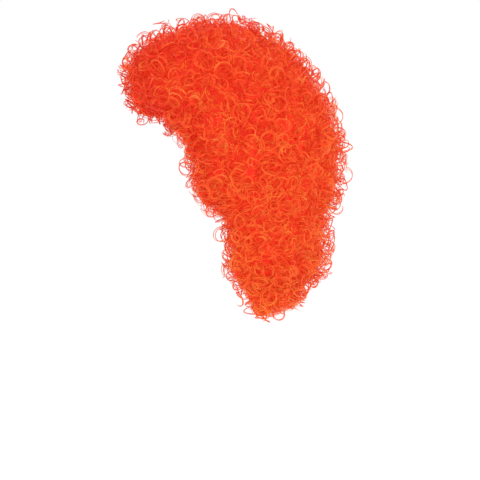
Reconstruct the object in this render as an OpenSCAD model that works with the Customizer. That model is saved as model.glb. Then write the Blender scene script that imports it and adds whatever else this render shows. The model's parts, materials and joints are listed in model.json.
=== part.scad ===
// Curly costume wig, shaped as it is worn.
// Origin: centre of the head. +Z is up, the face looks along -Y, the wearer's left is +X.
// Angles round the head are counted from the back of the head, positive towards the wearer's left.

/* [Head inside the cap] */
// Half width of the head
head_half_w = 76; // [74:1:77]
// Half depth of the head, from its centre to the forehead or the back
head_half_d = 95; // [93:1:96]
// Height of the top of the head above its centre
head_top = 118; // [114:1:120]
// Half height of the skull below its centre
head_low = 95; // [93:1:96]
// Radius of the neck behind which the long curls hang
neck_r = 60; // [57:1:61]

/* [Hair] */
// Height of the hair above the centre of the head
hair_top = 163; // [160:1:175]
// Half width of the hair at ear level
hair_half_w = 133; // [125:1:140]
// How far the hair reaches in front of the crown
hair_front_reach = 126; // [118:1:132]
// How far the hair reaches behind the crown
hair_back_reach = 157; // [150:1:160]
// Depth of the lowest curls below the centre, before the sides are drawn longer
hair_low = 205; // [200:1:215]
// Gap left between neighbouring masses of curls
hair_gap = 0.8; // [0.4:0.2:1.4]

/* [Cap] */
// Thickness of the cap's elastic and ribbons
fabric_t = 1; // [0.6:0.1:1.1]
// Thickness of the crown net
net_t = 0.6; // [0.4:0.1:0.9]
// Width of the ribbons
ribbon_w = 9; // [6:1:12]
// Height of a sewn weft track
weft_h = 5; // [3:1:7]
// Thickness of a sewn weft track
weft_t = 1.6; // [1:0.1:1.7]

/* [Nape and adjusters] */
// Inner radius of the nape band
nape_r = 58; // [57:0.5:59]
// Height of the nape band
nape_h = 16; // [15:1:17]
// Width of an adjuster strap
strap_w = 9; // [7:0.5:9]
// Thickness of an adjuster strap
strap_t = 1.4; // [1:0.1:1.5]
// Step between two hook loops along the nape, in degrees
loop_step = 8; // [7:0.5:8]
// Width of the blank care label
label_w = 12; // [8:1:14]

/* [Hidden] */
hair_colour = "orangered";
hair_deep_colour = "#d93a12";
elastic_colour = "#c9a07c";
net_colour = "#b98e6b";
weft_colour = "#c8481c";
stay_colour = "#e8e4da";
hook_colour = "#2b2b2b";
label_colour = "white";

// Stand-off of each layer from the head
cap_off = 0.8;
weft_off = cap_off + fabric_t + 0.25;
stay_t = 0.8;
hair_off = weft_off + weft_t + 0.6;

// Levels that part the rows of curls, from the crown down
crown_level = 128;
upper_level = 86;
brow_level = 50;
ear_level = 4;
jaw_level = -48;
nape_level = -98;
long_level = -150;
// Shares of the way round the head that part the rows
front_from = 0.74;
back_to = 0.27;

// Side view of the hair: the crown's distance behind the centre and the levels of its fullest points
crown_y = 10;
front_mid = 95;
front_drop = 106;
back_mid = -20;
back_power = 1.85;
side_power = 2.1;
// Back outline below its fullest point: level, distance behind the centre
back_line = [[-205, 106], [-187, 123], [-172, 138], [-144, 147], [-120, 147], [-95, 152], [-60, 163],
    [-20, 167]];
// Half width below ear level: level, share of the half width at ear level
side_line = [[-205, 0.6], [-150, 0.77], [-100, 0.86], [-50, 0.95], [0, 1]];
// Front edge beside the face and the neck: level, distance behind the centre
edge_line = [[-205, 50], [-185, 46], [-155, 20], [-100, 17], [-85, 8], [-62, -20], [-30, -25], [5, -36],
    [30, -56], [50, -70]];
// Below this level the long curls at the sides are drawn lower than those at the back
drape_start = -120;
drape_back = 1.1;
drape_side = 1.375;
// Height over which the tips thin out
tip_h = 55;

// Room for the skull, jaw and neck inside the hair: level, then centre, half width and half depth
neck_centre = [[-90, 24], [-62, 8], [-40, 2], [-20, 0]];
neck_half_w = [[-90, neck_r], [-62, 68], [-40, 75], [-20, head_half_w + hair_off]];
neck_half_d = [[-90, neck_r], [-62, 76], [-40, 91], [-20, head_half_d + hair_off]];

// Cap outlines, as angle from the back and height
ribbon_top = 73.5;
crown_ribbon_low = 74;
crown_ribbon_high = 82;
front_low = [[112, 17], [120, 33], [130, 43], [155, 51], [180, 54]];
front_high = [[112, 58], [130, 65], [155, 72], [180, ribbon_top]];
tab_low = [[92, 19], [96, -6], [99, -22], [102, -23], [106, -8], [112, 17]];
tab_high = [[92, ribbon_top], [112, ribbon_top]];
elastic_low = [[46, -55.5], [52, -52], [58, -30], [65, -2], [69, 8], [79, 21], [92, 19]];
elastic_high = [[46, -47], [50, -40], [54, -26], [60, 0], [65, 16], [69, 24], [79, 31], [92, 29]];
ear_ribbon_bottom = 32;
tab_back = 92;
tab_front = 112;
elastic_back = 46;
seam_gap = 0.4;

// Weft tracks: height of each row, and how far round the head a row reaches at a height
WEFTS = [58, 44, 30, 16, 2, -12, -26, -40];
weft_reach = [[-40, 52], [-26, 57], [-12, 61], [2, 65], [16, 71], [24, 79], [30, 100], [44, 108], [58, 132]];
CROWN_WEFTS = [42, 53, 64, 75];
FRONT_WEFTS = [3, 11];
front_weft_from = 142;
inner_ribbon = 18;
outer_ribbon = 36;
ear_ribbon = 76;
stay_angles = [99, 101.8];
stay_heights = [-19, 15];

// Nape band and adjusters, round an upright axis
nape_y = 19;
nape_mid = -64;
nape_half_angle = 67;
slide_gap = 0.3;
strap_out_r = nape_r - slide_gap;
strap_in_r = strap_out_r - strap_t;
sleeve_t = 0.6;
sleeve_in_r = strap_in_r - slide_gap - sleeve_t;
sleeve_lip = 1;
sleeve_h = strap_w + 2 * slide_gap;
first_loop = 10;
loop_count = 3;
loop_thread = 1.6;
hook_tip = first_loop + (loop_count - 1) * loop_step - 3;
tongue_len = 8;
tongue_h = 4;
buckle_len = 5;
buckle_bar = 1.4;
strap_start = hook_tip + tongue_len + buckle_len;
strap_len = 34;
sleeve_start = strap_start + 4;
sleeve_len = 20;
label_h = 14;
label_t = 0.5;

function mix(a, b, k) = a + (b - a) * k;
function joined(lists) = [for (l = lists) each l];
function eased(k) = (1 - cos(180 * k)) / 2;
function capped(k) = max(-1, min(1, k));

// Reach of a superellipse at a share of its height
function reach(k, power) = pow(max(0, 1 - pow(abs(k), power)), 1 / power);

// Distance from the crown's axis to the outside of the hair at a level
function hair_back(level) = level > back_mid
    ? hair_back_reach * reach((level - back_mid) / (hair_top - back_mid), back_power)
    : lookup(level, back_line) - crown_y;
function hair_front(level) = let (l = max(level, 0))
    hair_front_reach * reach((l - front_mid) / (l > front_mid ? hair_top - front_mid : front_drop), 2);
function hair_side(level) = hair_half_w
    * (level > 0 ? reach(level / hair_top, side_power) : lookup(level, side_line));

// Half width, half depth and centre of the room inside the hair at a level
function room_scale(level) = sqrt(max(0, 1 - pow(max(0, level) / hair_top, 2)));
function room_half_w(level) = lookup(level, neck_half_w) * room_scale(level);
function room_half_d(level) = lookup(level, neck_half_d) * room_scale(level);

// Angle at which the hair ends beside the face, along the head and along the outside
function inner_edge(level) = level > brow_level - 1 ? 180
    : acos(capped((lookup(level, edge_line) - lookup(level, neck_centre)) / room_half_d(level)));
function outer_edge(level) = let (y = lookup(level, edge_line) + 8 - crown_y)
    level > brow_level - 1 ? 180 : acos(capped(y / (y > 0 ? hair_back(level) : hair_front(level))));

// Height of a level at a share u of the way round to the face
function drape(level, u) = level > drape_start ? level
    : drape_start + (level - drape_start) * mix(drape_back, drape_side, eased(abs(u)));

// A point on the head side of the hair, and one on its outside
function hair_inside(level, u) = let (a = u * inner_edge(level))
    [room_half_w(level) * sin(a), lookup(level, neck_centre) + room_half_d(level) * cos(a),
        level > 0 ? (head_top + hair_off) * level / hair_top : drape(level, u)];
function hair_outside(level, u) = let (a = u * outer_edge(level))
    [hair_side(level) * sin(a), crown_y + cos(a) * (cos(a) > 0 ? hair_back(level) : hair_front(level)),
        drape(level, u)];

// The curls thin out towards the face and towards their tips
function tip_share(level) = pow(max(0, (tip_h - hair_low - level) / tip_h), 2);
function face_share(level, u) = level > brow_level - 1 ? 0 : pow(abs(u), 8);
function curl_point(level, u, outside) = let (t = tip_share(level),
    k = outside ? 1 - 0.3 * t - 0.3 * face_share(level, u) : 0.25 * t)
    mix(hair_inside(level, u), hair_outside(level, u), k);

// A point of the cap at an angle from the back and a height, standing off the head
function cap_point(a, z, off) = let (lat = asin(z / (z > 0 ? head_top : head_low)))
    [(head_half_w + off) * cos(lat) * sin(a), (head_half_d + off) * cos(lat) * cos(a),
        z > 0 ? (head_top + off) * sin(lat) : z];
function folded(a) = a > 180 ? 360 - a : abs(a);

// Two triangles for each square of a grid
function square_faces(a, b, c, d) = [[a, b, c], [a, c, d]];

// A closed solid between two grids of points: grid[i][j], i round the head and j down it
module solid_between(inner, outer, round = false) {
    n = len(inner);
    m = len(inner[0]);
    far = n * m;
    spans = round ? n : n - 1;
    at = function (i, j) (i % n) * m + j;
    inside = joined([for (i = [0:spans - 1], j = [0:m - 2])
        square_faces(at(i, j), at(i + 1, j), at(i + 1, j + 1), at(i, j + 1))]);
    outside = joined([for (i = [0:spans - 1], j = [0:m - 2])
        square_faces(far + at(i, j + 1), far + at(i + 1, j + 1), far + at(i + 1, j), far + at(i, j))]);
    top_rim = joined([for (i = [0:spans - 1])
        square_faces(at(i, 0), far + at(i, 0), far + at(i + 1, 0), at(i + 1, 0))]);
    bottom_rim = joined([for (i = [0:spans - 1])
        square_faces(at(i + 1, m - 1), far + at(i + 1, m - 1), far + at(i, m - 1), at(i, m - 1))]);
    ends = round ? [] : joined([for (j = [0:m - 2]) concat(
        square_faces(at(0, j + 1), far + at(0, j + 1), far + at(0, j), at(0, j)),
        square_faces(at(n - 1, j), far + at(n - 1, j), far + at(n - 1, j + 1), at(n - 1, j + 1)))]);
    polyhedron(points = concat(joined(inner), joined(outer)),
        faces = concat(inside, outside, top_rim, bottom_rim, ends));
}

// A closed dome between two sets of rings that run up to a pole each: ring[i][j], j up to the pole
module dome_between(inner, outer, inner_pole, outer_pole) {
    n = len(inner);
    m = len(inner[0]);
    far = n * m;
    at = function (i, j) (i % n) * m + j;
    inside = joined([for (i = [0:n - 1], j = [0:m - 2])
        square_faces(at(i, j + 1), at(i + 1, j + 1), at(i + 1, j), at(i, j))]);
    outside = joined([for (i = [0:n - 1], j = [0:m - 2])
        square_faces(far + at(i, j), far + at(i + 1, j), far + at(i + 1, j + 1), far + at(i, j + 1))]);
    rim = joined([for (i = [0:n - 1])
        square_faces(at(i, 0), at(i + 1, 0), far + at(i + 1, 0), far + at(i, 0))]);
    fans = joined([for (i = [0:n - 1]) [
        [2 * far, at(i + 1, m - 1), at(i, m - 1)],
        [2 * far + 1, far + at(i, m - 1), far + at(i + 1, m - 1)]]]);
    polyhedron(points = concat(joined(inner), joined(outer), [inner_pole, outer_pole]),
        faces = concat(inside, outside, rim, fans));
}

// A mass of curls between two levels and two shares of the way round
module curls(top, bottom, from, to, colour = hair_colour, across = 8, down = 4) {
    inset = 0.5 / 180;
    level = function (j) mix(top - hair_gap / 2, bottom + hair_gap / 2, j / down);
    share = function (i) mix(from + inset, to - inset, i / across);
    grid = function (outside) [for (i = [0:across]) [for (j = [0:down])
        curl_point(level(j), share(i), outside)]];
    color(colour)
    solid_between(grid(false), grid(true));
}

// A strip of the cap between two angles, from its lower to its upper height at each angle
module cap_strip(from, to, lows, highs, off, t, across, down = 1) {
    angle = function (i) mix(from, to, i / across);
    height = function (i, j) mix(lookup(folded(angle(i)), highs), lookup(folded(angle(i)), lows), j / down);
    grid = function (o) [for (i = [0:across]) [for (j = [0:down]) cap_point(angle(i), height(i, j), o)]];
    solid_between(grid(off), grid(off + t));
}

// A closed band round the cap, between two heights
module cap_ring(low, high, off, t, across = 40) {
    grid = function (o) [for (i = [0:across - 1]) [for (z = [high, low])
        cap_point(i * 360 / across, z, o)]];
    solid_between(grid(off), grid(off + t), round = true);
}

// An arc of rectangular section round the nape, between two angles from the back
module nape_arc(from, to, r_in, r_out, z_low, z_high) {
    translate([0, nape_y, 0])
    rotate([0, 0, 90 - to])
    rotate_extrude(angle = to - from, $fn = 180)
    translate([r_in, z_low])
    square([r_out - r_in, z_high - z_low]);
}

module mirrored() {
    mirror([1, 0, 0])
    children();
}

// Curls, from the crown down; side pieces are drawn for the wearer's left
module curls_crown() {
    rings = 7;
    across = 36;
    lat = function (j) mix(asin((crown_level + hair_gap / 2) / hair_top), 84, j / (rings - 1));
    grid = function (outside) [for (i = [0:across - 1]) [for (j = [0:rings - 1])
        curl_point(hair_top * sin(lat(j)), -1 + 2 * i / across, outside)]];
    color(hair_colour)
    dome_between(grid(false), grid(true), [0, 0, head_top + hair_off], [0, crown_y, hair_top]);
}

module curls_fringe_top() {
    curls(crown_level, upper_level, front_from, 2 - front_from, across = 12);
}

module curls_top() {
    curls(crown_level, upper_level, back_to, front_from, hair_deep_colour);
}

module curls_top_back() {
    curls(crown_level, upper_level, -back_to, back_to, across = 12);
}

module curls_fringe() {
    curls(upper_level, brow_level, front_from, 2 - front_from, hair_deep_colour, across = 12);
}

module curls_temple() {
    curls(upper_level, brow_level, back_to, front_from);
}

module curls_upper_back() {
    curls(upper_level, brow_level, -back_to, back_to, hair_deep_colour, across = 12);
}

module curls_ear() {
    curls(brow_level - 1.1, ear_level, back_to, 1, hair_deep_colour, across = 10);
}

module curls_mid_back() {
    curls(brow_level - 1.1, ear_level, -back_to, back_to, across = 10);
}

module curls_jaw() {
    curls(ear_level, jaw_level, back_to, 1, across = 10);
}

module curls_low_back() {
    curls(ear_level, jaw_level, -back_to, back_to, hair_deep_colour, across = 10);
}

module curls_neck() {
    curls(jaw_level, nape_level, back_to, 1, hair_deep_colour);
}

module curls_nape() {
    curls(jaw_level, nape_level, -back_to, back_to);
}

module curls_long() {
    curls(nape_level, long_level, back_to, 1);
}

module curls_long_back() {
    curls(nape_level, long_level, -back_to, back_to, hair_deep_colour);
}

module curls_tips() {
    curls(long_level, -hair_low, back_to, 1, hair_deep_colour);
}

module curls_tips_back() {
    curls(long_level, -hair_low, -back_to, back_to);
}

// The cap: net, ribbons and elastic
module crown_net() {
    rings = 7;
    across = 40;
    lat = function (j) mix(asin((crown_ribbon_high + 0.5) / head_top), 84, j / (rings - 1));
    grid = function (o) [for (i = [0:across - 1]) [for (j = [0:rings - 1])
        cap_point(i * 360 / across, head_top * sin(lat(j)), o)]];
    color(net_colour)
    dome_between(grid(cap_off), grid(cap_off + net_t), [0, 0, head_top + cap_off],
        [0, 0, head_top + cap_off + net_t]);
}

module crown_ribbon() {
    color(elastic_colour)
    cap_ring(crown_ribbon_low, crown_ribbon_high, cap_off, fabric_t);
}

module front_band() {
    color(elastic_colour)
    cap_strip(tab_front + seam_gap, 360 - tab_front - seam_gap, front_low, front_high, cap_off, fabric_t,
        26, 3);
}

module ear_tab() {
    color(elastic_colour)
    cap_strip(tab_back, tab_front, tab_low, tab_high, cap_off, fabric_t, 12, 6);
}

module ear_stay() {
    color(stay_colour)
    cap_strip(stay_angles[0], stay_angles[1], [[0, stay_heights[0]]], [[0, stay_heights[1]]], weft_off,
        stay_t, 2, 4);
}

module edge_elastic() {
    color(elastic_colour)
    cap_strip(elastic_back, tab_back - seam_gap, elastic_low, elastic_high, cap_off, fabric_t, 20, 2);
}

module nape_band() {
    color(elastic_colour)
    nape_arc(-nape_half_angle, nape_half_angle, nape_r, nape_r + fabric_t, nape_mid - nape_h / 2,
        nape_mid + nape_h / 2);
}

module ribbon(angle, bottom) {
    half = ribbon_w / (2 * head_half_d) * 180 / PI;
    color(elastic_colour)
    cap_strip(angle - half, angle + half, [[0, bottom]], [[0, ribbon_top]], cap_off, fabric_t, 2, 12);
}

module ribbon_at(angle) {
    ribbon(angle, nape_mid + nape_h / 2 + 0.6);
}

// Weft tracks: the folded, stitched edge that each row of curls hangs from
module weft_row(z) {
    turn = lookup(z, weft_reach);
    color(weft_colour)
    cap_strip(-turn, turn, [[0, z - weft_h / 2]], [[0, z + weft_h / 2]], weft_off, weft_t, 30);
}

module crown_wefts() {
    color(weft_colour)
    for (lat = CROWN_WEFTS) {
        z = head_top * sin(lat);
        rise = weft_h / 2 * cos(lat);
        cap_ring(z - rise, z + rise, weft_off, weft_t, 32);
    }
}

module front_wefts() {
    color(weft_colour)
    for (rise = FRONT_WEFTS) {
        lows = [for (p = front_low) [p[0], p[1] + rise]];
        highs = [for (p = front_low) [p[0], p[1] + rise + weft_h]];
        cap_strip(front_weft_from, 360 - front_weft_from, lows, highs, weft_off, weft_t, 16);
    }
}

// Adjusters: each strap runs in a sleeve on the nape band and ends in a hook, drawn for the left
module strap_sleeve() {
    low = nape_mid - sleeve_h / 2;
    high = nape_mid + sleeve_h / 2;
    end = sleeve_start + sleeve_len;
    color(elastic_colour)
    union() {
        nape_arc(sleeve_start, end, sleeve_in_r, sleeve_in_r + sleeve_t, low - sleeve_lip, high + sleeve_lip);
        nape_arc(sleeve_start, end, sleeve_in_r, nape_r, low - sleeve_lip, low);
        nape_arc(sleeve_start, end, sleeve_in_r, nape_r, high, high + sleeve_lip);
    }
}

module strap() {
    color(elastic_colour)
    nape_arc(strap_start, strap_start + strap_len, strap_in_r, strap_out_r, nape_mid - strap_w / 2,
        nape_mid + strap_w / 2);
}

module hook() {
    half = strap_w / 2;
    slot = half - buckle_bar;
    buckle = hook_tip + tongue_len;
    color(hook_colour)
    union() {
        nape_arc(hook_tip, buckle + 0.1, strap_in_r, strap_out_r, nape_mid - tongue_h / 2,
            nape_mid + tongue_h / 2);
        difference() {
            nape_arc(buckle, buckle + buckle_len, strap_in_r, strap_out_r, nape_mid - half, nape_mid + half);
            nape_arc(buckle + buckle_bar, buckle + buckle_len - buckle_bar, strap_in_r - 1, strap_out_r + 1,
                nape_mid - slot, nape_mid + slot);
        }
    }
}

module hook_loops() {
    half = loop_thread / 2;
    inner = sleeve_in_r;
    low = nape_mid - sleeve_h / 2;
    high = nape_mid + sleeve_h / 2;
    color(weft_colour)
    for (i = [0:loop_count - 1]) {
        a = first_loop + i * loop_step;
        union() {
            nape_arc(a - half, a + half, inner, inner + sleeve_t, low - sleeve_lip, high + sleeve_lip);
            nape_arc(a - half, a + half, inner, nape_r, low - sleeve_lip, low);
            nape_arc(a - half, a + half, inner, nape_r, high, high + sleeve_lip);
        }
    }
}

module care_label() {
    half = label_w / nape_r * 90 / PI;
    color(label_colour)
    nape_arc(-half, half, nape_r - label_t, nape_r, nape_mid - label_h / 2, nape_mid + label_h / 2);
}

curls_crown();
curls_fringe_top();
curls_top();  // curls_top_left
mirrored() curls_top();  // curls_top_right
curls_top_back();
curls_fringe();
curls_temple();  // curls_temple_left
mirrored() curls_temple();  // curls_temple_right
curls_upper_back();
curls_ear();  // curls_ear_left
mirrored() curls_ear();  // curls_ear_right
curls_mid_back();
curls_jaw();  // curls_jaw_left
mirrored() curls_jaw();  // curls_jaw_right
curls_low_back();
curls_neck();  // curls_neck_left
mirrored() curls_neck();  // curls_neck_right
curls_nape();
curls_long();  // curls_long_left
mirrored() curls_long();  // curls_long_right
curls_long_back();
curls_tips();  // curls_tips_left
mirrored() curls_tips();  // curls_tips_right
curls_tips_back();
crown_net();
crown_ribbon();
front_band();
ear_tab();  // ear_tab_left
mirrored() ear_tab();  // ear_tab_right
ear_stay();  // ear_stay_left
mirrored() ear_stay();  // ear_stay_right
edge_elastic();  // edge_elastic_left
mirrored() edge_elastic();  // edge_elastic_right
nape_band();
ribbon_at(0);  // ribbon_center
ribbon_at(inner_ribbon);  // ribbon_inner_left
ribbon_at(-inner_ribbon);  // ribbon_inner_right
ribbon_at(outer_ribbon);  // ribbon_outer_left
ribbon_at(-outer_ribbon);  // ribbon_outer_right
ribbon(ear_ribbon, ear_ribbon_bottom);  // ribbon_ear_left
ribbon(-ear_ribbon, ear_ribbon_bottom);  // ribbon_ear_right
weft_row(WEFTS[0]);  // weft_row_1
weft_row(WEFTS[1]);  // weft_row_2
weft_row(WEFTS[2]);  // weft_row_3
weft_row(WEFTS[3]);  // weft_row_4
weft_row(WEFTS[4]);  // weft_row_5
weft_row(WEFTS[5]);  // weft_row_6
weft_row(WEFTS[6]);  // weft_row_7
weft_row(WEFTS[7]);  // weft_row_8
crown_wefts();
front_wefts();
strap_sleeve();  // strap_sleeve_left
mirrored() strap_sleeve();  // strap_sleeve_right
strap();  // strap_left
mirrored() strap();  // strap_right
hook();  // hook_left
mirrored() hook();  // hook_right
hook_loops();  // hook_loops_left
mirrored() hook_loops();  // hook_loops_right
care_label();
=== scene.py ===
import itertools
import json
import math

import bmesh
import bpy
import numpy as np
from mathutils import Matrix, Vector, noise
from mathutils.bvhtree import BVHTree


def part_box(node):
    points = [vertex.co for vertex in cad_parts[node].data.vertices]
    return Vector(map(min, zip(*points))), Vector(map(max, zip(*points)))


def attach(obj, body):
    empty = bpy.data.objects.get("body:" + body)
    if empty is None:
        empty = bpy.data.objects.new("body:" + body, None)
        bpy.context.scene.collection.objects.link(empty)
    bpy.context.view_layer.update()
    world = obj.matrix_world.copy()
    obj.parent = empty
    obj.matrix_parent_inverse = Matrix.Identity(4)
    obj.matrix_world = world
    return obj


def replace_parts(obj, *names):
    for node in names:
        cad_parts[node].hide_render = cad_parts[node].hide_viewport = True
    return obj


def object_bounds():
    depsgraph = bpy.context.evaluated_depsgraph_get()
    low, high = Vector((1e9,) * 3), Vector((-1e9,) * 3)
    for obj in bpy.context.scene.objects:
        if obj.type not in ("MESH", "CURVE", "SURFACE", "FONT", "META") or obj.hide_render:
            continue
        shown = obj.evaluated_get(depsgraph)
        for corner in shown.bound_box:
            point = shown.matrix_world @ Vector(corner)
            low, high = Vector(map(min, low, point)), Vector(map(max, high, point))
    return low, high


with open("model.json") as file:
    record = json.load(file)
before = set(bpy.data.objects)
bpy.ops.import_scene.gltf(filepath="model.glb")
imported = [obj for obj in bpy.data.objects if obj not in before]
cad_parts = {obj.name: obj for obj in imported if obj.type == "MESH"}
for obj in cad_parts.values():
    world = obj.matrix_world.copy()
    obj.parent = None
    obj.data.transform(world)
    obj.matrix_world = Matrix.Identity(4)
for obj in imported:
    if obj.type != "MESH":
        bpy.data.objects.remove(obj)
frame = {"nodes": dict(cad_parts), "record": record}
cad_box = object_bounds()

MM = 0.001
TURN = 2 * math.pi
DOWN = np.array([0, 0, -1.0])
WHITE = (1, 1, 1)
CAP = "cap"
CURL_NODES = sorted(n for n in frame["nodes"] if n.startswith("curls_"))
BODY_OF = {node: body for body, nodes in frame["record"]["behaviour"]["bodies"].items()
           for node in nodes}


def add_object(name, data):
    o = bpy.data.objects.new(name, data)
    bpy.context.collection.objects.link(o)
    return o


# ---------------------------------------------------------------- material nodes

def set_inputs(node, values):
    for name, value in values.items():
        node.inputs[name].default_value = value


def new_material(name, colour, roughness):
    """A material, its shader and its node tree."""
    material = bpy.data.materials.new(name)
    material.use_nodes = True
    shader = material.node_tree.nodes["Principled BSDF"]
    set_inputs(shader, {"Base Color": (*colour, 1), "Roughness": roughness})
    return material, shader, material.node_tree


def attribute_node(tree, name):
    attribute = tree.nodes.new("ShaderNodeAttribute")
    attribute.attribute_name = name
    return attribute.outputs["Fac"]


def noise_node(tree, scale, detail=4):
    place = tree.nodes.new("ShaderNodeTexCoord")
    texture = tree.nodes.new("ShaderNodeTexNoise")
    set_inputs(texture, {"Scale": scale, "Detail": detail})
    tree.links.new(place.outputs["Object"], texture.inputs["Vector"])
    return texture.outputs["Fac"]


def ramp_node(tree, source, stops):
    ramp = tree.nodes.new("ShaderNodeValToRGB")
    while len(ramp.color_ramp.elements) < len(stops):
        ramp.color_ramp.elements.new(0.5)
    for element, (place, colour) in zip(ramp.color_ramp.elements, stops):
        element.position = place
        element.color = (*colour, 1)
    tree.links.new(source, ramp.inputs["Fac"])
    return ramp.outputs["Color"]


def multiply_node(tree, a, b, share):
    """Colour a, multiplied by colour b as far as the share says."""
    mix = tree.nodes.new("ShaderNodeMix")
    mix.data_type = "RGBA"
    mix.blend_type = "MULTIPLY"
    mix.inputs["Factor"].default_value = share
    tree.links.new(a, mix.inputs["A"])
    tree.links.new(b, mix.inputs["B"])
    return mix.outputs["Result"]


def math_node(tree, operation, *values):
    """The result of an operation on sockets and numbers."""
    node = tree.nodes.new("ShaderNodeMath")
    node.operation = operation
    for socket, value in zip(node.inputs, values):
        if isinstance(value, bpy.types.NodeSocket):
            tree.links.new(value, socket)
        else:
            socket.default_value = value
    return node.outputs[0]


def add_bump(tree, shader, height, strength, distance):
    bump = tree.nodes.new("ShaderNodeBump")
    set_inputs(bump, {"Strength": strength, "Distance": distance})
    tree.links.new(height, bump.inputs["Height"])
    tree.links.new(bump.outputs["Normal"], shader.inputs["Normal"])


# ---------------------------------------------------------------- camera, floor and light

VIEW_CENTRE = Vector((0, 35, -125)) * MM
VIEW_WIDTH = 634 * MM
VIEW_DISTANCE = 2.6
SENSOR = 36
FLOOR_LEVEL = -430 * MM
FLOOR_REACH = 40
LIGHTS = [  # name, place, diameter and power
    ("key", (1.9, 1.0, 1.5), 0.4, 21),
    ("fill", (1.8, -1.5, 0.3), 1.2, 9),
    ("low", (1.7, 0.8, -0.35), 1.0, 10),
    ("back", (-1.6, 0.4, 1.2), 1.4, 14),
    ("low_back", (-1.5, 0.9, -0.3), 1.0, 6),
]
WORLD_LIGHT = 1.0


def add_camera():
    """A level view of the wearer's left side, along -X."""
    camera = add_object("camera", bpy.data.cameras.new("camera"))
    camera.location = VIEW_CENTRE + Vector((VIEW_DISTANCE, 0, 0))
    camera.rotation_euler = (math.radians(90), 0, math.radians(90))
    camera.data.sensor_width = SENSOR
    camera.data.lens = SENSOR * VIEW_DISTANCE / VIEW_WIDTH
    bpy.context.scene.camera = camera


def add_lights():
    for name, place, size, power in LIGHTS:
        data = bpy.data.lights.new(name, "AREA")
        data.shape = "DISK"
        data.size = size
        data.energy = power
        light = add_object(name, data)
        light.location = place
        light.visible_camera = False
        ray = VIEW_CENTRE - Vector(place)
        light.rotation_euler = ray.to_track_quat("-Z", "Y").to_euler()
    world = bpy.data.worlds.new("studio")
    world.use_nodes = True
    set_inputs(world.node_tree.nodes["Background"],
               {"Color": (*WHITE, 1), "Strength": WORLD_LIGHT})
    bpy.context.scene.world = world


def add_floor():
    r = FLOOR_REACH
    corners = [(x, y, FLOOR_LEVEL) for x, y in ((-r, -r), (r, -r), (r, r), (-r, r))]
    mesh = bpy.data.meshes.new("floor")
    mesh.from_pydata(corners, [], [(0, 1, 2, 3)])
    floor = add_object("floor", mesh)
    material, shader, _ = new_material("floor_paper", WHITE, 1)
    set_inputs(shader, {"Specular IOR Level": 0})
    mesh.materials.append(material)


# ---------------------------------------------------------------- mesh helpers

WELD = 0.01 * MM
SHARP_EDGE = math.radians(50)
HAIR_SIDES = 3
THREAD_SIDES = 5


def unit(v):
    return v / np.maximum(np.linalg.norm(v, axis=-1, keepdims=True), 1e-9)


def read_rows(items, name, dtype=float):
    """A property that has three parts, for many elements of a mesh."""
    values = np.empty(len(items) * 3, dtype=dtype)
    items.foreach_get(name, values)
    return values.reshape(-1, 3)


def points_and_normals(mesh):
    return read_rows(mesh.vertices, "co"), read_rows(mesh.vertices, "normal")


def points_and_faces(node):
    """The vertices and the faces of a CAD node."""
    mesh = frame["nodes"][node].data
    return read_rows(mesh.vertices, "co"), [tuple(p.vertices) for p in mesh.polygons]


def store(mesh, name, values):
    """Stores a number for each vertex, which materials read."""
    mesh.attributes.new(name, "FLOAT", "POINT").data.foreach_set("value", values)


def plain_mesh(node):
    points, faces = points_and_faces(node)
    mesh = bpy.data.meshes.new(node)
    mesh.from_pydata(points.tolist(), [], faces)
    return mesh


def modified(mesh, modifiers):
    """A new mesh in place of this one, after modifiers that are given by type and settings."""
    o = add_object("modified", mesh)
    for kind, settings in modifiers:
        modifier = o.modifiers.new(kind.lower(), kind)
        for name, value in settings.items():
            setattr(modifier, name, value)
    depsgraph = bpy.context.evaluated_depsgraph_get()
    result = bpy.data.meshes.new_from_object(o.evaluated_get(depsgraph))
    bpy.data.objects.remove(o)
    bpy.data.meshes.remove(mesh)
    return result


def rounded_mesh(node, width, segments=2):
    """A copy of a CAD node's mesh with its sharp edges rounded."""
    return modified(plain_mesh(node), [
        ("WELD", dict(merge_threshold=WELD)),
        ("BEVEL", dict(width=width, segments=segments, limit_method="ANGLE",
                       angle_limit=SHARP_EDGE))])


def joined(name, meshes):
    """One mesh in place of several, with a material slot for each."""
    bm = bmesh.new()
    for slot, mesh in enumerate(meshes):
        mesh.polygons.foreach_set("material_index", [slot] * len(mesh.polygons))
        bm.from_mesh(mesh)
    result = bpy.data.meshes.new(name)
    bm.to_mesh(result)
    bm.free()
    for mesh in meshes:
        bpy.data.meshes.remove(mesh)
    return result


def add_piece(name, mesh, materials, body=CAP):
    """A visible piece with smooth faces, on a body and in a colour slot."""
    piece = add_object(name, mesh)
    for material in materials:
        mesh.materials.append(material)
    mesh.polygons.foreach_set("use_smooth", [True] * len(mesh.polygons))
    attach(piece, body)
    return piece


def tubes(paths, sides_from, radii, tints, sides):
    """Closed tubes along paths of shape (strands, points, 3).

    Gives their vertices, four-sided faces, end faces and tints.
    """
    count, m, _ = paths.shape
    tangents = unit(np.gradient(paths, axis=1))
    across = unit(np.cross(tangents, sides_from))
    up = np.cross(across, tangents)
    angles = (np.arange(sides) * TURN / sides)[None, None, :, None]
    rings = paths[:, :, None, :] + radii[:, :, None, None] * (
        np.cos(angles) * up[:, :, None, :] + np.sin(angles) * across[:, :, None, :])
    base = (np.arange(count) * m * sides)[:, None, None]
    ring = base + np.arange(m - 1)[None, :, None] * sides
    k = np.arange(sides)[None, None, :]
    k2 = (k + 1) % sides
    quads = np.stack([ring + k, ring + k2, ring + sides + k2, ring + sides + k], axis=-1)
    first = base[:, :, 0] + np.arange(sides)[None, ::-1]
    last = base[:, :, 0] + (m - 1) * sides + np.arange(sides)[None, :]
    return (rings.reshape(-1, 3), quads.reshape(-1, 4), np.concatenate([first, last]),
            np.repeat(tints, sides))


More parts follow.
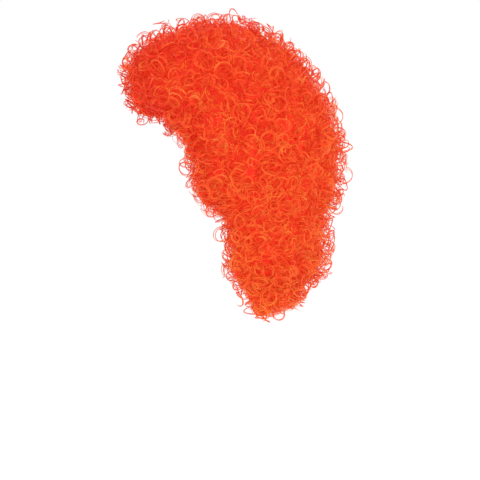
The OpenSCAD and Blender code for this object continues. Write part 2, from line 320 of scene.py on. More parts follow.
def tube_mesh(name, sets, sides=HAIR_SIDES):
    """One mesh of closed tubes, from sets of paths that may differ in their number of points."""
    built = [tubes(*s, sides) for s in sets if len(s[0])]
    starts = np.cumsum([0] + [len(b[0]) for b in built])
    vertices = np.concatenate([b[0] for b in built])
    quads = np.concatenate([b[1] + s for b, s in zip(built, starts)])
    ends = np.concatenate([b[2] + s for b, s in zip(built, starts)])
    corners = np.concatenate([quads.ravel(), ends.ravel()])
    face_starts = np.concatenate(
        [np.arange(len(quads)) * 4, quads.size + np.arange(len(ends)) * sides])
    mesh = bpy.data.meshes.new(name)
    mesh.vertices.add(len(vertices))
    mesh.vertices.foreach_set("co", vertices.ravel())
    mesh.loops.add(len(corners))
    mesh.loops.foreach_set("vertex_index", corners)
    mesh.polygons.add(len(face_starts))
    mesh.polygons.foreach_set("loop_start", face_starts)
    mesh.update(calc_edges=True)
    store(mesh, "tint", np.concatenate([b[3] for b in built]))
    return mesh


# ---------------------------------------------------------------- the hair's volume

HAIR_VOXEL = 4.5 * MM
SMOOTHING = 6
BED_DEPTH = 10 * MM          # from the hair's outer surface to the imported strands,
INNER_BED_DEPTH = 12 * MM    # from its surface that faces the neck,
BED_BACKING = 1.6 * MM       # and from its surface that the cap covers
INNER_SINK = 1 * MM
INNER_SIDE = -0.35           # a surface less outward than this faces the head or neck
TUFT_HEIGHT = 6 * MM
TUFT_SCALE = 24
NECK_BEHIND = 24 * MM
NECK_DEPTH = 90 * MM
TIP_TOP = -180 * MM
TIP_LIFT = 13 * MM
EDGE_SINK = 6 * MM
CANDIDATES = 5               # random points tried for each square of the spacing


def hair_volume():
    """The masses of curls merged into one closed mesh."""
    points, faces, start = [], [], 0
    for node in CURL_NODES:
        p, f = points_and_faces(node)
        points.append(p)
        faces += [tuple(i + start for i in face) for face in f]
        start += len(p)
    mesh = bpy.data.meshes.new("volume")
    mesh.from_pydata(np.concatenate(points).tolist(), [], faces)
    return modified(mesh, [
        ("WELD", dict(merge_threshold=WELD)),
        ("REMESH", dict(mode="VOXEL", voxel_size=HAIR_VOXEL)),
        ("SMOOTH", dict(iterations=SMOOTHING))])


def axis_points(p):
    """The middle of the head or neck at the height of each point."""
    low = np.clip(-p[:, 2] / NECK_DEPTH, 0, 1)
    return np.stack([np.zeros(len(p)), low * NECK_BEHIND, np.minimum(p[:, 2], 0)], axis=1)


def outwardness(p, normals):
    """How far each normal points away from the head or neck, from -1 to 1."""
    return np.sum(normals * unit(p - axis_points(p)), axis=1)


def tufts(p):
    """Height of the soft tufts that the curls gather in, at each point."""
    return TUFT_HEIGHT * np.array([noise.noise(Vector(q) * TUFT_SCALE) for q in p])


def tip_lift(p):
    """How far the lowest hair is drawn up, at each point."""
    return TIP_LIFT * np.clip((TIP_TOP - p[:, 2]) / (TIP_TOP - cad_box[0].z), 0, 1)


def lower_edge(normals):
    """How much further in the hair starts where its surface faces down."""
    return EDGE_SINK * np.clip(-normals[:, 2], 0, 1)


def sides_of_hair(p, normals):
    """Which points face the head or neck, and which of those the cap covers."""
    facing_in = outwardness(p, normals) < INNER_SIDE
    front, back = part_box("edge_elastic_left")
    cap_edge = np.interp(p[:, 1], [front.y, back.y], [back.z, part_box("nape_band")[0].z])
    return facing_in, facing_in & (p[:, 2] > cap_edge)


def surface_points(rng, volume, spacing):
    """Random points all over the hair, more than will be kept, and their normals."""
    p, n = points_and_normals(volume)
    volume.calc_loop_triangles()
    t = read_rows(volume.loop_triangles, "vertices", int)
    a, b, c = p[t[:, 0]], p[t[:, 1]], p[t[:, 2]]
    area = np.linalg.norm(np.cross(b - a, c - a), axis=1) / 2
    count = int(CANDIDATES * area.sum() / spacing ** 2)
    pick = rng.choice(len(t), count, p=area / area.sum())
    u, v = rng.random(count), rng.random(count)
    flip = u + v > 1
    u[flip], v[flip] = 1 - u[flip], 1 - v[flip]
    u, v = u[:, None], v[:, None]
    points = a[pick] + u * (b - a)[pick] + v * (c - a)[pick]
    normals = n[t[pick, 0]] * (1 - u - v) + n[t[pick, 1]] * u + n[t[pick, 2]] * v
    return points, unit(normals)


def spaced(points, spacing):
    """The points that stay when each keeps its distance from all those before it."""
    kept, cells = [], {}
    keys = np.floor(points / spacing).astype(int)
    near = list(itertools.product((-1, 0, 1), repeat=3))
    for s, (x, y, z) in enumerate(keys):
        close = (w for i, j, k in near for w in cells.get((x + i, y + j, z + k), ()))
        if all(np.sum((points[s] - points[w]) ** 2) > spacing ** 2 for w in close):
            cells.setdefault((x, y, z), []).append(s)
            kept.append(s)
    return kept


def scatter(rng, volume, spacing, zone):
    """Points spread over the outer, open or covered sides of the hair, and their normals."""
    points, normals = surface_points(rng, volume, spacing)
    facing_in, covered = sides_of_hair(points, normals)
    inner = facing_in & ~covered
    points[inner] -= normals[inner] * INNER_SINK
    good = {"outer": ~facing_in, "open": ~covered, "covered": covered}[zone]
    points, normals = points[good], normals[good]
    kept = spaced(points, spacing)
    return points[kept], normals[kept]


# ---------------------------------------------------------------- the hair's materials

# painted light: a red glow on the fibre and the bed, which lifts the shade in the hair's hollows
PAINTED_GLOW = 0.21
# painted shade: the strays take a darker red range of tints, which keeps the loose outer strands
# as dark as the self-shaded mass
STRAY_PAINTED_SHADE_RANGE = (0, 0.2)
LOCK_SHADES = (0.25, 1)
STRAND_AND_HIGHLIGHT_COLOURS = [  # by tint: the strays' range first, then that of all other locks; the top of each range is the colour of the painted highlights and glints
    (0.0, (0.62, 0.026, 0.017)), (0.2, (0.73, 0.215, 0.032)),
    (0.25, (0.68, 0.022, 0.022)), (0.51, (0.70, 0.054, 0.019)),
    (0.78, (0.72, 0.112, 0.021)), (1.0, (0.80, 0.40, 0.075))]
PATCH_SCALE = 28
PATCH_COLOURS = [(0.35, (0.97, 0.6, 0.8)), (0.65, WHITE)]
PATCH_SHARE = 0.4
BED_GRAIN = 260
# painted shade: the bed is a darker red than the curls, and its grain varies at random
BED_SHADE_COLOURS = [
    (0.3, (0.56, 0.018, 0.013)), (0.55, (0.66, 0.034, 0.014)), (0.75, (0.76, 0.07, 0.016))]
BED_BUMP = 2 * MM


def fibre_material():
    """Glossy dyed fibre: each strand has its own tint, which also carries painted highlights,
    and patches of the wig are redder; a red glow of painted light lifts its shade.
    """
    material, shader, tree = new_material("curl_fibre", (0.9, 0.075, 0.015), 0.34)
    strand = ramp_node(tree, attribute_node(tree, "tint"), STRAND_AND_HIGHLIGHT_COLOURS)
    patches = ramp_node(tree, noise_node(tree, PATCH_SCALE, 3), PATCH_COLOURS)
    colour = multiply_node(tree, strand, patches, PATCH_SHARE)
    tree.links.new(colour, shader.inputs["Base Color"])
    set_inputs(shader, {
        "Specular IOR Level": 0.16,
        "Specular Tint": (1, 0.5, 0.28, 1),
        "Emission Color": (1, 0.035, 0.012, 1),
        "Emission Strength": PAINTED_GLOW})
    return material


def bed_material():
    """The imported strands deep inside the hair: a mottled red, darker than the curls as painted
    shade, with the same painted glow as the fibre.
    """
    material, shader, tree = new_material("curl_bed", (0.7, 0.03, 0.02), 0.7)
    grain = noise_node(tree, BED_GRAIN)
    tree.links.new(ramp_node(tree, grain, BED_SHADE_COLOURS), shader.inputs["Base Color"])
    add_bump(tree, shader, grain, 0.7, BED_BUMP)
    set_inputs(shader, {
        "Specular IOR Level": 0.1,
        "Emission Color": (1, 0.03, 0.012, 1),
        "Emission Strength": PAINTED_GLOW})
    return material


# ---------------------------------------------------------------- curls

TRIANGLES_PER_PIECE = 190_000
CURL_SEED = 7

CROWN_BEHIND = 10 * MM
COMB_OUT = 0.5

CAP_CLEARANCE = 1.7 * MM     # the room that the head, the cap and the neck take
HEAD_BELOW = 105 * MM
NECK_RADIUS = 56 * MM
NECK_TOP = -60 * MM

REACH_SHARE = 0.03           # how far locks may stand out of the CAD model's box
REACH_EXTRA = 8 * MM

TURN_SPREAD = 0.035          # how the strands of one lock differ
PHASE_SPREAD = 0.25
WOBBLE = 0.12
WOBBLE_TURNS = (0.6, 1.6)
THICKNESS = (0.75, 1.2)
STRAND_TINT_SPREAD = 0.18
LOCK_TINT_SPREAD = 0.08

END_RADIUS = 0.55            # a lock is this share of its radius at its narrowest
SWELL_START = 0.12
SWELL_SPAN = 0.8
TIP_THICKNESS = 0.35         # a strand thins to this share of its radius at its tip
TAPER = 4

GRADIENT_LENGTH = 100 * MM   # painted light: tints grow brighter towards the back and the lower end,
PAINTED_LIGHT_BACK = 0.07
PAINTED_LIGHT_BELOW = 0.055
PAINTED_LIGHT_UP = np.array([0, 0, 0.7])
PAINTED_CREST_LIGHT = 0.05           # a painted highlight on the outer and upper side of each coil,
PAINTED_GLINT_LIGHT = 0.6            # and painted highlights as short glints along each strand
PAINTED_GLINT_SHARPNESS = 12

# Each layer of locks: which sides of the hair it grows on, its spacing, and its ringlets.
# Sizes are in millimetres, and each lock has its own value between the two of a pair.
# mix: how much a lock's axis follows the comb, the surface's normal and chance.
# out: how far a lock stands out of the hair's surface.
# spread: how loosely its strands lie together, as a share of its radius.
# press: how much of a lock's rise off the surface is left.
LAYERS = {
    "ring": ("open", 12.5, dict(
        strands=7, points=25, turns=(1.2, 2.1), radius=(7, 11.5), pitch=(4, 10),
        mix=(0.3, 0.9, 0.7), out=(-5, 2), spread=0.26, thick=0.29, tint=0.5)),
    "coil": ("open", 9.7, dict(
        strands=6, points=22, turns=(1.3, 2.1), radius=(5.8, 10), pitch=(6, 12),
        mix=(0.7, 0.5, 0.8), out=(-6, 1), spread=0.24, thick=0.3, tint=0.48)),
    # the under layer's lower tint darkens it as painted shade deep in the mass
    "under": ("open", 9.8, dict(
        strands=4, points=12, turns=(1.0, 1.5), radius=(5, 9), pitch=(5, 10),
        mix=(0.3, 0.2, 1.0), out=(-8, -4), spread=0.18, thick=0.5, tint=0.43)),
    "stray": ("outer", 14, dict(
        strands=3, points=24, turns=(1.1, 1.9), radius=(5.5, 10), pitch=(5, 12),
        mix=(0.5, 0.6, 0.9), out=(7, 15), spread=0.07, thick=0.42, tint=0.25,
        shades=STRAY_PAINTED_SHADE_RANGE)),
    "loop": ("outer", 21, dict(
        strands=2, points=26, turns=(1.1, 1.7), radius=(7.5, 12), pitch=(6, 14),
        mix=(0.5, 0.6, 0.9), out=(12, 22), spread=0.06, thick=0.52, tint=0.22,
        shades=STRAY_PAINTED_SHADE_RANGE)),
    "lining": ("covered", 11.5, dict(
        strands=5, points=14, turns=(1.0, 1.6), radius=(4, 8), pitch=(4, 9),
        mix=(0.8, 0.1, 1.0), out=(0, 1.5), spread=0.18, thick=0.45, tint=0.42,
        press=0.25, droop=0)),
}


def combed(p, n):
    """The way the curls are combed: away from the crown and down, along the surface."""
    away = unit(np.stack([p[:, 0], p[:, 1] - CROWN_BEHIND, np.zeros(len(p))], axis=1))
    way = DOWN + COMB_OUT * away
    return unit(way - n * np.sum(way * n, axis=1, keepdims=True))


def cap_axes():
    """Half width, half depth and height of the cap's outer surface."""
    return np.array([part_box("ear_tab_left")[1].x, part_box("ribbon_center")[1].y,
                     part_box("crown_net")[1].z])


def clear_of_head(paths):
    """Moves points out of the room that the head, the cap and the neck take."""
    p = paths.reshape(-1, 3).copy()
    wide, deep, high = cap_axes() + CAP_CLEARANCE
    z = p[:, 2]
    level = np.sqrt(np.maximum(0, 1 - (z / np.where(z > 0, high, HEAD_BELOW)) ** 2))
    q = np.sqrt((p[:, 0] / wide) ** 2 + (p[:, 1] / deep) ** 2)
    inside = (q < level) & (q > 1e-6)
    p[inside, :2] *= (level[inside] / q[inside])[:, None]
    middle = np.array([0, NECK_BEHIND])
    away = p[:, :2] - middle
    r = np.linalg.norm(away, axis=1)
    inside = (z < NECK_TOP) & (r < NECK_RADIUS)
    p[inside, :2] = middle + away[inside] * (NECK_RADIUS / np.maximum(r[inside], 1e-6))[:, None]
    return p.reshape(paths.shape)


def within_reach(paths, owner):
    """Moves whole locks back inside the room that the curls take up."""
    low, high = (np.array(corner) for corner in cad_box)
    margin = REACH_SHARE * (high - low) + REACH_EXTRA
    least, most = (np.full((owner.max() + 1, 3), fill) for fill in (np.inf, -np.inf))
    np.minimum.at(least, owner, paths.min(axis=1))
    np.maximum.at(most, owner, paths.max(axis=1))
    move = np.maximum(low - margin - least, 0) - np.maximum(most - high - margin, 0)
    return paths + move[owner][:, None, :]


def place_locks(rng, roots, normals, turns, radius, pitch, mix, out, press):
    """Each lock's start, axis, two side vectors, radius, turns and length."""
    n = len(roots)
    along, straight, wild = mix
    axis = unit(straight * normals + along * combed(roots, normals)
                + wild * unit(rng.normal(size=(n, 3))))
    radius = rng.uniform(*radius, n) * MM
    turns = rng.uniform(*turns, n)
    length = turns * rng.uniform(*pitch, n) * MM
    rise = np.sum(axis * normals, axis=1)
    reach = np.maximum(rise, 0) * length + radius * np.sqrt(np.maximum(0, 1 - rise ** 2))
    sink = reach * press - rng.uniform(*out, n) * MM - tufts(roots) + lower_edge(normals)
    start = roots - normals * sink[:, None]
    start[:, 2] += tip_lift(roots)
    e1 = unit(np.cross(axis, unit(rng.normal(size=(n, 3)))))
    return start, axis, e1, np.cross(axis, e1), radius, turns, length


def ringlets(rng, roots, normals, strands, points, turns, radius, pitch, mix, out, spread,
             thick, tint, press=1.0, droop=3.0, shades=LOCK_SHADES):
    """Coiled locks of several strands each.

    Gives the strands' paths, side vectors, radii and tints, and which lock each is in.
    """
    start, axis, e1, e2, radius, turns, length = place_locks(
        rng, roots, normals, turns, radius, pitch, mix, out, press)
    n = len(roots)
    hand = rng.choice([-1.0, 1.0], n)
    phase = rng.uniform(0, TURN, n)
    # painted light: each lock's tint grows brighter towards the back and the lower end
    painted_light = (PAINTED_LIGHT_BACK * roots[:, 1] / GRADIENT_LENGTH
               - PAINTED_LIGHT_BELOW * roots[:, 2] / GRADIENT_LENGTH)
    lock_tint = rng.normal(tint, LOCK_TINT_SPREAD, n) + painted_light
    # the way that the painted highlight on each coil faces: outward and up
    painted_light_way = unit(normals + PAINTED_LIGHT_UP)

    owner = np.repeat(np.arange(n), strands)
    total = len(owner)
    t = np.linspace(0, 1, points)[None, :]
    start, axis, e1, e2, facing, painted_light_way = (
        v[owner][:, None, :] for v in (start, axis, e1, e2, normals, painted_light_way))

    def wave(first, turns):
        return np.sin(TURN * (first[:, None] + t * turns[:, None]))

    turn = turns[owner] * (1 + rng.normal(0, TURN_SPREAD, total))
    a = ((phase[owner] + rng.normal(0, PHASE_SPREAD, total))[:, None]
         + (hand[owner] * TURN * turn)[:, None] * t)
    wobble = 1 + WOBBLE * wave(rng.random(total), rng.uniform(*WOBBLE_TURNS, total))
    swell = END_RADIUS + (1 - END_RADIUS) * np.sin(
        np.pi * np.clip(SWELL_START + SWELL_SPAN * t, 0, 1))
    r = (radius[owner] * (1 + rng.normal(0, spread, total)))[:, None] * wobble * swell
    side = np.cos(a)[:, :, None] * e1 + np.sin(a)[:, :, None] * e2
    slide = rng.normal(0, 1, total) * spread * radius[owner]
    rising = axis * (length[owner][:, None] * t + slide[:, None])[:, :, None]
    offset = rising + r[:, :, None] * side
    offset -= facing * np.sum(offset * facing, axis=2, keepdims=True) * (1 - press)
    paths = start + offset
    paths[:, :, 2] -= droop * MM * t ** 2

    radii = (thick * MM * rng.uniform(*THICKNESS, total)[:, None]
             * np.clip((1 - t) * TAPER + TIP_THICKNESS, 0, 1))
    # painted highlight on the outer and upper side of each coil
    painted_crest = np.sum(side * painted_light_way, axis=2)
    # painted highlights: short glints along each strand; this sheen is painted into the tint
    painted_glint = np.clip(wave(rng.random(total), turn), 0, 1) ** PAINTED_GLINT_SHARPNESS
    sheen = PAINTED_CREST_LIGHT * painted_crest + PAINTED_GLINT_LIGHT * painted_glint
    strand_tint = lock_tint[owner] + rng.normal(0, STRAND_TINT_SPREAD, total)
    tints = np.clip(strand_tint[:, None] + sheen, 0, 1)
    tints = shades[0] + (shades[1] - shades[0]) * tints
    return clear_of_head(within_reach(paths, owner)), side, radii, tints, owner


def region_finder():
    """A function that gives the mass of curls nearest to a point."""
    trees = {}
    for node in CURL_NODES:
        p, f = points_and_faces(node)
        trees[node] = BVHTree.FromPolygons(p.tolist(), f)
    return lambda p: min(trees, key=lambda node: trees[node].find_nearest(p)[3])


def add_bed(volume):
    """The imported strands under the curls, sunk below them except where the cap covers them."""
    mesh = volume.copy()
    p, n = points_and_normals(mesh)
    facing_in, covered = sides_of_hair(p, n)
    depth = np.where(facing_in, INNER_BED_DEPTH, BED_DEPTH) - tufts(p)
    inward = np.where(covered, BED_BACKING, depth)
    inward += np.where(covered, 0, lower_edge(n))
    sunk = p - n * inward[:, None]
    sunk[:, 2] += tip_lift(p)
    mesh.vertices.foreach_set("co", sunk.ravel())
    mesh.update()
    add_piece("curl_bed", mesh, [bed_material()])


def add_curls(volume, fibre):
    """The curls: one piece for each mass of curls in the frame, or several for a full one."""
    rng = np.random.default_rng(CURL_SEED)
    find = region_finder()
    groups = {node: [] for node in CURL_NODES}
    for zone, spacing, shape in LAYERS.values():
        roots, normals = scatter(rng, volume, spacing * MM, zone)
        *strands, owner = ringlets(rng, roots, normals, **shape)
        region = np.array([CURL_NODES.index(find(Vector(p))) for p in roots])[owner]
        for k, node in enumerate(CURL_NODES):
            groups[node].append([x[region == k] for x in strands])
    for node, sets in groups.items():
        points = sum(paths.shape[0] * paths.shape[1] for paths, *_ in sets)
        shares = math.ceil(2 * HAIR_SIDES * points / TRIANGLES_PER_PIECE)
        name = node.replace("curls_", "locks_")
        for share in range(shares):
            mesh = tube_mesh(node, [[x[share::shares] for x in s] for s in sets])
            piece_name = name if shares == 1 else f"{name}_{share + 1}"
            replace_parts(add_piece(piece_name, mesh, [fibre]), node)


# ---------------------------------------------------------------- the cap's materials

WOVEN = {  # name, dark and light thread, rib pitch round and down, depth, roughness, sheen
    "ribbon": ("cap_ribbon", (0.36, 0.20, 0.115), (0.62, 0.40, 0.26),
               0.9, 0.55, 0.12, 0.8, 0.3),
    "elastic": ("cap_elastic", (0.38, 0.22, 0.13), (0.66, 0.43, 0.28),
                1.1, 1.6, 0.22, 0.75, 0.2),
    "strap": ("strap_elastic", (0.42, 0.25, 0.15), (0.72, 0.50, 0.34),
              0.8, 1.8, 0.2, 0.7, 0.2),
    "track": ("weft_track", (0.34, 0.018, 0.01), (0.72, 0.06, 0.016),
              0.7, 2.4, 0.25, 0.6, 0.1),
    "label": ("label_satin", (0.72, 0.71, 0.68), (0.88, 0.87, 0.84),
              0.35, 0.3, 0.03, 0.35, 0.1),
}
MOTTLED = {  # name, dark and light tone, roughness, and other settings
    "cord": ("net_cord", (0.36, 0.20, 0.11), (0.56, 0.34, 0.20), 0.8, dict(sheen=0.2)),
    "thread": ("sewing_thread", (0.62, 0.44, 0.30), (0.84, 0.68, 0.52), 0.6, {}),
    "red_thread": ("weft_thread", (0.55, 0.03, 0.015), (0.85, 0.10, 0.03), 0.55, {}),
    "plastic": ("hook_plastic", (0.018, 0.017, 0.016), (0.045, 0.043, 0.04), 0.42,
                dict(scale=120)),
    "stay": ("stay_plastic", (0.70, 0.67, 0.60), (0.84, 0.82, 0.76), 0.45, dict(scale=120)),
}
WORN_SCALE = 90
WORN_COLOURS = [(0.3, (0.82, 0.8, 0.78)), (0.7, WHITE)]
WORN_SHARE = 0.8
ROUGHNESS_RANGE = 0.2


def ribs(tree, coordinate, pitch):
    """Ribs from -1 to 1 along a stored coordinate. It and the pitch are in millimetres."""
    source = attribute_node(tree, coordinate)
    return math_node(tree, "SINE", math_node(tree, "MULTIPLY", source, TURN / pitch))


def woven_material(name, dark, light, round_pitch, level_pitch, depth, roughness, sheen):
    """Woven tape: threads that cross, in two tones, with a bump and worn, softer patches."""
    material, shader, tree = new_material(name, light, roughness)
    weave = math_node(tree, "MULTIPLY", ribs(tree, "round", round_pitch),
                      ribs(tree, "level", level_pitch))
    height = math_node(tree, "MULTIPLY_ADD", weave, 0.5, 0.5)
    threads = ramp_node(tree, height, [(0.1, dark), (0.75, light)])
    patches = ramp_node(tree, noise_node(tree, WORN_SCALE), WORN_COLOURS)
    colour = multiply_node(tree, threads, patches, WORN_SHARE)
    tree.links.new(colour, shader.inputs["Base Color"])
    add_bump(tree, shader, height, 0.8, depth * MM)
    set_inputs(shader, {"Sheen Weight": sheen, "Sheen Roughness": 0.4})
    return material


def mottled_material(name, dark, light, roughness, scale=300, sheen=0.0):
    """Thread, cord or moulded plastic: two close tones, and a roughness that varies too."""
    material, shader, tree = new_material(name, light, roughness)
    grain = noise_node(tree, scale)
    colour = ramp_node(tree, grain, [(0.35, dark), (0.65, light)])
    tree.links.new(colour, shader.inputs["Base Color"])
    rough = math_node(tree, "MULTIPLY_ADD", grain, ROUGHNESS_RANGE,
                      roughness - ROUGHNESS_RANGE / 2)
    tree.links.new(rough, shader.inputs["Roughness"])
    set_inputs(shader, {"Sheen Weight": sheen})
    return material


def cap_materials():
    materials = {key: woven_material(*values) for key, values in WOVEN.items()}
    for key, (*values, settings) in MOTTLED.items():
        materials[key] = mottled_material(*values, **settings)
    return materials


# ---------------------------------------------------------------- seams and stitches

STITCH_LENGTH = 2.3 * MM
STITCH_PITCH = 3.1 * MM
STITCH_INSET = 1.1 * MM
STITCH_ARCH = [-0.5, 0.6, 0.6, -0.5]     # a stitch's height at its points, in thread radii
THREAD_RADIUS = 0.2 * MM
HEAD_SIDE = -0.6                         # a strip's face less outward than this faces the head
MIDDLE_TINT = 0.5


def add_weave_coordinates(mesh, from_front):
    """Stores how far round the head and how high each point is, in millimetres."""
    p = read_rows(mesh.vertices, "co")
    turn = np.arctan2(p[:, 0], -p[:, 1] if from_front else p[:, 1])
    store(mesh, "round", turn * np.linalg.norm(p[:, :2], axis=1).mean() / MM)
    store(mesh, "level", p[:, 2] / MM)


def head_side_edges(bm):
    """The edges round a strip's head side.

    Gives, by vertex, its neighbours along them, its way inward and its normal.
    """
    centres = np.array([f.calc_center_median() for f in bm.faces])
    normals = np.array([f.normal for f in bm.faces])
    headward = outwardness(centres, normals) < HEAD_SIDE
    beside, ways, facing = {}, {}, {}
    for e in bm.edges:
        sides = [f for f in e.link_faces if headward[f.index]]
        if len(e.link_faces) == 2 and len(sides) == 1:
            a, b = (v.index for v in e.verts)
            way = sides[0].normal.cross(e.verts[1].co - e.verts[0].co).normalized()
            if way.dot(sides[0].calc_center_median() - e.verts[0].co) < 0:
                way.negate()
            for v, other in ((a, b), (b, a)):
                beside.setdefault(v, []).append(other)
                ways[v] = ways.get(v, Vector()) + way
                facing[v] = facing.get(v, Vector()) + sides[0].normal
    return beside, ways, facing


def seams(node, inset):
    """Closed lines just inside the edges of the head side of a CAD strip.

    Gives each line's points, normals and ways inward.
    """
    mesh = plain_mesh(node)
    bm = bmesh.new()
    bm.from_mesh(mesh)
    bpy.data.meshes.remove(mesh)
    bmesh.ops.remove_doubles(bm, verts=bm.verts, dist=WELD)
    bm.normal_update()
    beside, ways, facing = head_side_edges(bm)
    places = {v.index: v.co.copy() for v in bm.verts}
    bm.free()
    seen, found = set(), []
    for first in beside:
        line, here = [], first
        while here is not None:
            seen.add(here)
            line.append(here)
            here = next((v for v in beside[here] if v not in seen), None)
        if len(line) > 3:
            way = unit(np.array([ways[v] for v in line]))
            normal = unit(np.array([facing[v] for v in line]))
            found.append((np.array([places[v] for v in line]) + inset * way, normal, way))
    return found


def closed(rows):
    return np.vstack([rows, rows[:1]])


def steps(points):
    return np.linalg.norm(np.diff(points, axis=0), axis=1)


def distances(points):
    """How far along a line each of its points is."""
    return np.concatenate([[0], np.cumsum(steps(points))])


def along_line(points, normals, at):
    """Points and normals at distances along a closed line."""
    points, normals = closed(points), closed(normals)
    run = distances(points)
    at = at % run[-1]
    return [np.stack([np.interp(at, run, rows[:, k]) for k in range(3)], axis=-1)
            for rows in (points, normals)]


def stitch_sets(node, inset, radius):
    """Running stitches round the edges of a CAD strip's head side, as sets of tube paths."""
    sets = []
    n = len(STITCH_ARCH)
    for points, normals, _ in seams(node, inset):
        count = int(steps(closed(points)).sum() / STITCH_PITCH)
        if count < 3:
            continue
        at = (np.arange(count)[:, None] * STITCH_PITCH
              + np.linspace(0, STITCH_LENGTH, n)[None, :])
        paths, facing = along_line(points, normals, at.ravel())
        arch = np.tile(STITCH_ARCH, count)[:, None] * radius
        paths = (paths + facing * arch).reshape(count, n, 3)
        sets.append((paths, facing.reshape(count, n, 3), np.full((count, n), radius),
                     np.full((count, n), MIDDLE_TINT)))
    return sets


# ---------------------------------------------------------------- the cap's pieces

CAP_SEED = 11
WEFT_INSET = 0.6 * MM
WEFT_SPACING = 0.75 * MM
WEFT_POINTS = 7
WEFT_LENGTH = (8, 16)        # in millimetres
WEFT_SWAY = (0.5, 1.6)       # in millimetres
WEFT_WAVES = (0.6, 1.5)
WEFT_GAP = 0.8 * MM          # from a track's seam to its fibres, and how much this grows
WEFT_GAP_GROWTH = 1.2 * MM
WEFT_RADIUS = 0.22 * MM
WEFT_TINT = 0.4
WEFT_TINT_SPREAD = 0.2
LOWER_EDGE = 0.3             # an edge is a track's lower one if its way inward rises more
NET_PITCH = 3.4 * MM
NET_INSET = 0.3 * MM
NET_STEPS = 600
NET_POINTS = 45
NET_SHORTEST = 12            # a cord is left out if it crosses this many steps or fewer
CORD_RADIUS = 0.28 * MM
CORD_WEAVE = 0.25            # how far a cord bends over and under, as a share of its radius


def weft_fibres(rng, node):
    """The fibres that hang from a weft track's lower edge, over the gap to the next track."""
    sets = []
    for points, normals, ways in seams(node, WEFT_INSET):
        lower = ways[:, 2] > LOWER_EDGE
        run = np.flatnonzero(lower & np.roll(lower, -1))
        if not len(run):
            continue
        total = steps(closed(points)).sum()
        at = rng.uniform(0, total, int(total / WEFT_SPACING))
        at = at[np.isin(np.searchsorted(distances(points), at, side="right") - 1, run)]
        if not len(at):
            continue
        roots, facing = along_line(points, normals, at)
        facing = unit(facing)
        count = len(roots)

        def column(values):
            return values[:, None, None]

        t = np.linspace(0, 1, WEFT_POINTS)[None, :, None]
        down = DOWN + facing * facing[:, 2:]
        side = unit(np.cross(down, facing))
        length = column(rng.uniform(*WEFT_LENGTH, count)) * MM
        sway = column(rng.uniform(*WEFT_SWAY, count)) * MM
        wave = np.sin(TURN * (column(rng.random(count))
                              + t * column(rng.uniform(*WEFT_WAVES, count))))
        paths = (roots[:, None, :] - facing[:, None, :] * (WEFT_GAP + WEFT_GAP_GROWTH * t)
                 + unit(down)[:, None, :] * length * t + side[:, None, :] * sway * wave * t)
        tint = rng.normal(WEFT_TINT, WEFT_TINT_SPREAD, count).clip(0, 1)
        sets.append((clear_of_head(paths), np.repeat(facing[:, None, :], WEFT_POINTS, axis=1),
                     np.full((count, WEFT_POINTS), WEFT_RADIUS),
                     np.repeat(tint[:, None], WEFT_POINTS, axis=1)))
    return sets


def sewn_strip(node, cloth, thread=None, extra=(), inset=STITCH_INSET, bevel=0.28 * MM,
               from_front=False, thread_radius=THREAD_RADIUS):
    """A strip of the cap, rounded, woven and stitched, with other strands sewn to it."""
    strip = rounded_mesh(node, bevel)
    add_weave_coordinates(strip, from_front)
    parts, materials = [strip], [cloth]
    stitches = stitch_sets(node, inset, thread_radius) if thread else []
    if stitches:
        parts.append(tube_mesh(node + "_stitches", stitches, THREAD_SIDES))
        materials.append(thread)
    for sets, material in extra:
        parts.append(tube_mesh(node + "_strands", sets))
        materials.append(material)
    piece = add_piece("sewn_" + node, joined(node, parts), materials, BODY_OF[node])
    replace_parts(piece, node)


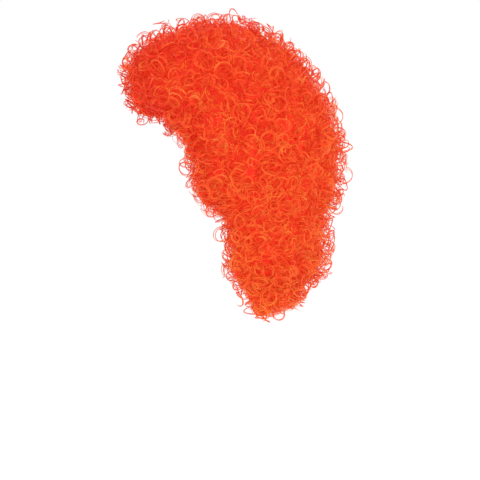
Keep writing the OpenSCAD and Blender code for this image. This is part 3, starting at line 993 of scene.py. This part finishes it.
def add_net(cord):
    """The crown's open net: two families of cords, square to each other as seen from above."""
    low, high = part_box("crown_net")
    wide, deep, top = cap_axes() - NET_INSET
    level = math.sqrt(1 - (low[2] / top) ** 2)
    far = max(high[0], high[1])
    lines = []
    for turn in (math.pi / 4, 3 * math.pi / 4):
        u = np.array([math.cos(turn), math.sin(turn)])
        v = np.array([-math.sin(turn), math.cos(turn)])
        for d in np.arange(-far, far, NET_PITCH):
            s = np.linspace(-far, far, NET_STEPS)
            q = np.linalg.norm((s[:, None] * u + d * v) / (wide, deep), axis=1)
            inside = s[q < level]
            if len(inside) > NET_SHORTEST:
                s = np.linspace(inside[0], inside[-1], NET_POINTS)
                xy = s[:, None] * u + d * v
                z = top * np.sqrt(1 - np.sum((xy / (wide, deep)) ** 2, axis=1))
                lines.append(np.column_stack([xy, z]))
    paths = np.array(lines)
    shape = paths.shape[:2]
    out = unit(paths / np.array([wide, deep, top]) ** 2)
    over_under = np.where(np.arange(shape[1]) % 2, 1, -1)[None, :, None]
    weave = CORD_WEAVE * CORD_RADIUS * over_under
    net = tube_mesh("net", [(paths + out * weave, out, np.full(shape, CORD_RADIUS),
                             np.full(shape, MIDDLE_TINT))], THREAD_SIDES)
    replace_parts(add_piece("net_of_crown", net, [cord]), "crown_net")


def moulded(node, material, bevel):
    """A plastic piece with its moulded edges rounded."""
    mesh = rounded_mesh(node, bevel, 3)
    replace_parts(add_piece("moulded_" + node, mesh, [material], BODY_OF[node]), node)


def add_cap(fibre):
    m = cap_materials()
    rng = np.random.default_rng(CAP_SEED)
    add_net(m["cord"])
    sewn_strip("crown_ribbon", m["ribbon"], m["thread"])
    sewn_strip("front_band", m["elastic"], m["thread"], from_front=True)
    sewn_strip("nape_band", m["elastic"], m["thread"])
    sewn_strip("ribbon_center", m["ribbon"], m["thread"])
    for side in ("left", "right"):
        for name in ("ribbon_inner", "ribbon_outer", "ribbon_ear", "ear_tab"):
            sewn_strip(f"{name}_{side}", m["ribbon"], m["thread"])
        sewn_strip(f"edge_elastic_{side}", m["elastic"], m["thread"])
        sewn_strip(f"strap_sleeve_{side}", m["ribbon"], m["thread"],
                   bevel=0.2 * MM)
        sewn_strip(f"strap_{side}", m["strap"], m["thread"], bevel=0.3 * MM,
                   thread_radius=THREAD_RADIUS / 2)
        sewn_strip(f"hook_loops_{side}", m["track"], bevel=0.3 * MM)
        moulded(f"hook_{side}", m["plastic"], 0.35 * MM)
        moulded(f"ear_stay_{side}", m["stay"], 0.3 * MM)
    sewn_strip("care_label", m["label"], m["thread"], inset=0.9 * MM,
               bevel=0.15 * MM)
    for node in sorted(frame["nodes"]):
        if node.startswith("weft_row") or node.endswith("wefts"):
            sewn_strip(node, m["track"], m["red_thread"],
                       [(weft_fibres(rng, node), fibre)], inset=0.8 * MM, bevel=0.4 * MM)


# ---------------------------------------------------------------- the scene

add_camera()
add_floor()
add_lights()
bpy.context.scene.view_settings.view_transform = "Standard"
curl_fibre = fibre_material()
volume = hair_volume()
add_bed(volume)
add_curls(volume, curl_fibre)
add_cap(curl_fibre)
bpy.data.meshes.remove(volume)
